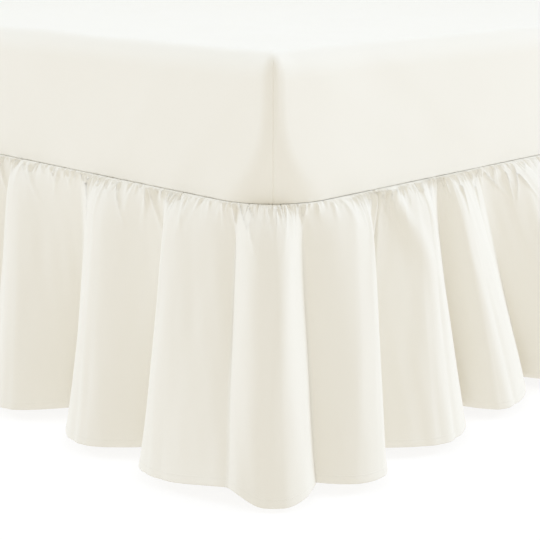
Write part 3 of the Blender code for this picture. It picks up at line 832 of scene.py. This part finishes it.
def seam_point(place):
    """Plan point on the seam line, and the direction in which the cloth there stands out."""
    turn = seam_turn(place)
    place = np.mod(place, SEAM_ROUND)
    x = np.interp(place, SEAM_STATIONS, SEAM_CENTRES_X) + SEAM_CORNER_RADIUS * np.cos(turn)
    y = np.interp(place, SEAM_STATIONS, SEAM_CENTRES_Y) + SEAM_CORNER_RADIUS * np.sin(turn)
    # The cloth is too stiff to turn sharply where an arc meets a straight side
    spread = np.linspace(-TURN_SPREAD, TURN_SPREAD, TURN_STEPS)
    turn = np.mean([seam_turn(place + offset) for offset in spread], axis=0)
    return x, y, np.cos(turn), np.sin(turn)


def ease(t):
    """A smooth step from 0 to 1."""
    return t * t * (3 - 2 * t)


def flank(from_crest, power):
    """Height of a fold's flank, from 1 at its crest to 0 in the hollow, with the crest rounded."""
    rounded = np.sqrt(from_crest ** 2 + CREST_ROUNDING ** 2) - CREST_ROUNDING
    return 1 - (rounded / (sqrt(1 + CREST_ROUNDING ** 2) - CREST_ROUNDING)) ** power


# The hem line, sampled all round: its place, reach, crest weight, dip and length of cloth
folds = all_folds()
knots = [(folds[-1].valley - SEAM_ROUND, folds[-1].valley_reach, 0, folds[-1].valley_dip,
          folds[0].rise, 0)]
for fold, following in zip(folds, folds[1:] + folds[:1]):
    crown = fold.flat * CREST_CROWN
    knots.append((fold.crest - fold.flat / 2, fold.reach, 1, fold.dip, 1, crown))
    knots.append((fold.crest + fold.flat / 2, fold.reach, 1, fold.dip, fold.fall, 0))
    knots.append((fold.valley, fold.valley_reach, 0, fold.valley_dip, following.rise, 0))
knot_at, knot_reach, knot_crest, knot_dip, knot_power, knot_crown = np.array(knots).T
hem_place = np.linspace(knot_at[0], knot_at[-1], HEM_SAMPLES)
span = np.clip(np.searchsorted(knot_at, hem_place, "right") - 1, 0, len(knot_at) - 2)
share = (hem_place - knot_at[span]) / (knot_at[span + 1] - knot_at[span])
rising = knot_crest[span] == 0
high = flank(np.clip(np.where(rising, 1 - share, share), 0, 1), knot_power[span])
along_span = np.where(rising, high, 1 - high)
hem_reach = knot_reach[span] + (knot_reach[span + 1] - knot_reach[span]) * along_span
hem_reach += knot_crown[span] * 4 * share * (1 - share)
hem_crest = knot_crest[span] + (knot_crest[span + 1] - knot_crest[span]) * along_span
hem_dip = knot_dip[span] + (knot_dip[span + 1] - knot_dip[span]) * ease(share)
x, y, out_x, out_y = seam_point(hem_place)
x, y = x + hem_reach * out_x, y + hem_reach * out_y
hem_cloth = np.append(0, np.cumsum(np.hypot(np.diff(x), np.diff(y))))
cloth_round = hem_cloth[-1]
seam_knots = [(folds[-1].valley - SEAM_ROUND, folds[-1].valley_seam - SEAM_ROUND)]
for fold in folds:
    seam_knots += [(fold.crest, fold.seam), (fold.valley, fold.valley_seam)]
seam_knots = np.array(seam_knots)
knots_cloth = np.interp(knot_at, hem_place, hem_cloth)
hem_seam = np.interp(hem_cloth, np.interp(seam_knots[:, 0], hem_place, hem_cloth),
                     seam_knots[:, 1])


def fall(cloth, depth):
    """Points of the big folds and their outward directions in plan, at one depth of cloth."""
    place, reach, crest, dip, seam = [np.interp(cloth, hem_cloth, values) for values in
                                      (hem_place, hem_reach, hem_crest, hem_dip, hem_seam)]
    down = depth / FRILL_DROP
    spring = VALLEY_SPRING + CREST_SPRING * crest
    sprung = (1 - exp(-depth / SPRING_DEPTH)) / (1 - exp(-FRILL_DROP / SPRING_DEPTH))
    flare = down ** (1 + VALLEY_BELLY * (1 - crest))
    along = seam + (place - seam) * (1 - (1 - down) ** FAN)
    x, y, out_x, out_y = seam_point(along)
    proud = FRILL_TOP_PROUD + CORNER_PROUD * (2 * out_x * out_y) ** 2
    out = proud + (reach - proud) * (spring * sprung + (1 - spring) * flare)
    height = SEAM_HEIGHT - PIECE_GAP - down * (FRILL_DROP - PIECE_GAP + dip)
    outward = np.stack([out_x, out_y, np.zeros(len(x))], axis=1)
    return np.stack([x + out * out_x, y + out * out_y, height], axis=1), outward


# Each ridge: its cloth at the seam, height, depths of swelling, start and fading, lean and width
tuck_chance = random.Random(TUCK_SEED)
ridges = []
for tuck in TUCKS:
    number = round(cloth_round / tuck.pitch)
    for at in range(number):
        spot = (at + tuck_chance.uniform(-TUCK_SHIFT, TUCK_SHIFT)) * cloth_round / number
        height = tuck.height * tuck_chance.uniform(*TUCK_HEIGHTS)
        place = np.interp(spot, hem_cloth, hem_seam)
        from_corner = (place + SEAM_ROUND / 2) % SEAM_ROUND - SEAM_ROUND / 2
        if PUCKERS[0].place < from_corner < PUCKERS[-1].place:
            height *= tuck.beside
        ridges.append((spot, height, tuck.swell, 0,
                       tuck.fade * TUCK_FADE_RANGE ** tuck_chance.uniform(-1, 1),
                       tuck_chance.uniform(-TUCK_SHIFT, TUCK_SHIFT),
                       tuck.pitch * tuck.width * tuck_chance.uniform(*TUCK_WIDTHS)))
for pucker in PUCKERS:
    lap = SEAM_ROUND * (pucker.place < hem_seam[0])
    spot = np.interp(pucker.place + lap, hem_seam, hem_cloth)
    ridges.append((spot - pucker.lean * pucker.top, pucker.height, PUCKER_SWELL, pucker.top,
                   (pucker.bottom - pucker.top) * PUCKER_FADE, pucker.lean, pucker.width))


def tuck_relief(cloth, depth):
    """Height of all the small tucks where the cloth passes them, at one depth."""
    relief = np.zeros(len(cloth))
    for spot, height, swell, start, fade, lean, width in ridges:
        below = max(depth - start, 0)
        top = height * (1 - exp(-below / swell)) * exp(-(below / fade) ** TUCK_FADE_POWER)
        if abs(top) < LEAST_TUCK:
            continue
        wide = width * (1 + TUCK_WIDENING * below / fade)
        reach = TUCK_REACH * wide
        for turn in (-cloth_round, 0, cloth_round):
            centre = spot + lean * depth + turn
            low, high = np.searchsorted(cloth, (centre - reach, centre + reach))
            if low < high:
                relief[low:high] += top * np.exp(-((cloth[low:high] - centre) / wide) ** 2)
    return relief


wave_chance = random.Random(FRILL_WAVE_SEED)
frill_waves = []
for _ in range(FRILL_WAVES):
    length = SHORTEST_FRILL_WAVE * FRILL_WAVE_RANGE ** wave_chance.random()
    frill_waves.append((2 * pi / length, wave_chance.uniform(-FRILL_WAVE_LEAN, FRILL_WAVE_LEAN),
                        wave_chance.uniform(0, 2 * pi),
                        FRILL_WAVE_SLOPE * length * wave_chance.uniform(*WAVE_SHARES)))


def wave_relief(cloth, depth):
    """Height of the faint upright unevenness that washing leaves in the cloth."""
    waves = sum(height * np.sin(pace * (cloth + lean * depth) + phase + FRILL_WAVE_TURN * depth)
                for pace, lean, phase, height in frill_waves)
    return waves * min(depth / FRILL_WAVE_ONSET, 1)


def frill_row(cloth, depth):
    """The front and back of the frill at one depth of cloth."""
    high, low = max(depth - NORMAL_REACH, 0), min(depth + NORMAL_REACH, FRILL_DROP)
    along = fall(cloth + NORMAL_REACH, depth)[0] - fall(cloth - NORMAL_REACH, depth)[0]
    drop = fall(cloth, low)[0] - fall(cloth, high)[0]
    normal = np.cross(drop, along)
    normal /= np.linalg.norm(normal, axis=1, keepdims=True)
    points, outward = fall(cloth, depth)
    above_hem = FRILL_DROP - depth - HEM_WIDTH
    relief = tuck_relief(cloth, depth) + wave_relief(cloth, depth)
    relief += PUFF * (1 - exp(-depth / PUFF_ONSET)) * exp(-depth / PUFF_FADE)
    relief += HEM_STEP / (1 + exp(np.clip(above_hem / HEM_STEP_WIDTH, -50, 50)))
    relief -= HEM_GROOVE * exp(-((above_hem + HEM_STITCH_INSET) / HEM_GROOVE_WIDTH) ** 2)
    front = points + normal * relief[:, None] - outward * TOP_TUCK * exp(-depth / TOP_TUCK_DEPTH)
    front[:, 2] = np.minimum(front[:, 2], SEAM_HEIGHT - PIECE_GAP - TOP_SLOPE * depth)
    return front, front - normal * CLOTH_THICKNESS


SEAM_DEPTHS = (0, 0.0006, 0.0013, 0.0024, 0.0038, 0.0056, 0.0078, 0.0106, 0.0140)
TUCKS_END = 0.060
TUCK_ROWS = 12
FOLDS_END = 0.394
FOLD_ROWS = 20
FOLD_ROW_SPREAD = 1.25
HEM_OFFSETS = (-0.0006, 0, 0.0006, 0.0014, 0.0022, 0.0060, 0.0105, 0.0120)

tuck_depths = [SEAM_DEPTHS[-1] + (TUCKS_END - SEAM_DEPTHS[-1]) * step / TUCK_ROWS
               for step in range(1, TUCK_ROWS + 1)]
fold_depths = [TUCKS_END + (FOLDS_END - TUCKS_END) * (step / FOLD_ROWS) ** FOLD_ROW_SPREAD
               for step in range(1, FOLD_ROWS + 1)]
hem_depths = [FRILL_DROP - HEM_WIDTH + offset for offset in HEM_OFFSETS]
frill_cotton = cotton("frill_cotton")
valleys = knots_cloth[::3]
lengths = ["frill_foot_right", "frill_head_right", "frill_head_left", "frill_foot_left"]
joins = [valleys[np.argmin(np.abs(valleys - number * cloth_round / len(lengths)))]
         for number in range(len(lengths) + 1)]
for name, start, end in zip(lengths, joins, joins[1:]):
    inside = knots_cloth[(knots_cloth > start + JOIN_TRIM) & (knots_cloth < end - JOIN_TRIM)]
    marks = np.concatenate([[start + JOIN_TRIM], inside, [end - JOIN_TRIM]])
    coarse = np.concatenate([np.linspace(low, high, max(1, round((high - low) / COARSE_STEP)),
                                         endpoint=False) for low, high in zip(marks, marks[1:])])
    coarse = np.append(coarse, marks[-1])
    rows = [(halved(halved(coarse)), depth) for depth in SEAM_DEPTHS]
    rows += [(halved(coarse), depth) for depth in tuck_depths]
    rows += [(coarse, depth) for depth in fold_depths + hem_depths]
    made = [frill_row(cloth, depth) for cloth, depth in rows]
    front, back = (np.concatenate(side) for side in zip(*made))
    faces = rows_to_faces([len(cloth) - 1 for cloth, depth in rows])
    piece = mesh_piece("gathered_" + name, *shell(front, back, faces), frill_cotton.material)
    flat_points = np.concatenate([np.column_stack([cloth, np.full(len(cloth), -depth)])
                                  for cloth, depth in rows] * 2)
    lay_flat(piece, flat_points[corner_numbers(piece)[0]])
    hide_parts(name)

    hem_line, _ = frill_row(np.arange(start + HEM_LINE_STEP, end - HEM_LINE_STEP, HEM_LINE_STEP),
                            FRILL_DROP - HEM_WIDTH + HEM_STITCH_INSET)
    stitches = stitched("hem_stitches_" + name.removeprefix("frill_"), [hem_line],
                        thread.material)

# ---------------------------------------------------------------------------------------------
# Setting. A plain near-white floor, broad soft lamps to both sides and above, and a camera that
# looks down a little at the foot-left corner.
# ---------------------------------------------------------------------------------------------
FRAME_PIXELS = 540
FOCAL_PIXELS = 1344
SENSOR_WIDTH = 36
CAMERA_OFFSET = Vector((-1.3759, -1.3614, 0.4137))
CAMERA_TILT = radians(90 - 14.590)
CAMERA_TURN = radians(-45.162)
FLOOR_REACH = 20
FLOOR_COLOUR = (0.14, 0.14, 0.137, 1)
FLOOR_GLOW_COLOUR = (1, 0.995, 0.985, 1)
FLOOR_GLOW = 0.87
STUDIO_COLOUR = (1.0, 0.966, 0.878, 1)
STUDIO_STRENGTH = 0.76
LAMP_COLOUR = (0.60, 0.74, 1.0)
# Each lamp: how far it stands to the right, ahead and up from the seam's corner, its size in
# metres and its power in watts
LAMPS = {
    "right_lamp": ((10.7, 2.5, 6.4), 4.2, 650),
    "left_lamp": ((-10.5, 3.3, 6.4), 4.0, 490),
    "top_lamp": ((0, 0, 3), 2.2, 18),
}

bed_corner = Vector((sheet_low.x, sheet_low.y, SEAM_HEIGHT))
lens = bpy.data.cameras.new("camera")
lens.sensor_width = SENSOR_WIDTH
lens.lens = SENSOR_WIDTH * FOCAL_PIXELS / FRAME_PIXELS
camera = bpy.data.objects.new("camera", lens)
bpy.context.scene.collection.objects.link(camera)
camera.location = bed_corner + CAMERA_OFFSET
camera.rotation_euler = (CAMERA_TILT, 0, CAMERA_TURN)
bpy.context.scene.camera = camera

paper = Finish("pale_floor", 0.9)
paper.set("Base Color", FLOOR_COLOUR)
paper.set("Emission Color", FLOOR_GLOW_COLOUR)
paper.set("Emission Strength", FLOOR_GLOW)
floor_mesh = bpy.data.meshes.new("floor")
floor_mesh.from_pydata([(x * FLOOR_REACH, y * FLOOR_REACH, 0) for x, y in CORNERS.tolist()], [],
                       [(0, 1, 2, 3)])
floor_mesh.materials.append(paper.material)
floor = bpy.data.objects.new("floor", floor_mesh)
bpy.context.scene.collection.objects.link(floor)

world = bpy.data.worlds.new("studio")
world.use_nodes = True
world.node_tree.nodes["Background"].inputs["Color"].default_value = STUDIO_COLOUR
world.node_tree.nodes["Background"].inputs["Strength"].default_value = STUDIO_STRENGTH
bpy.context.scene.world = world
bpy.context.scene.view_settings.view_transform = "Standard"

right = Vector((cos(CAMERA_TURN), sin(CAMERA_TURN), 0))
ahead = Vector((-sin(CAMERA_TURN), cos(CAMERA_TURN), 0))
for name, ((aside, forward, up), size, power) in LAMPS.items():
    offset = right * aside + ahead * forward + Vector((0, 0, up))
    glow = bpy.data.lights.new(name, "AREA")
    glow.size = size
    glow.energy = power
    glow.color = LAMP_COLOUR
    lamp = bpy.data.objects.new(name, glow)
    bpy.context.scene.collection.objects.link(lamp)
    lamp.location = bed_corner + offset
    lamp.rotation_euler = (-offset).to_track_quat("-Z", "Y").to_euler()
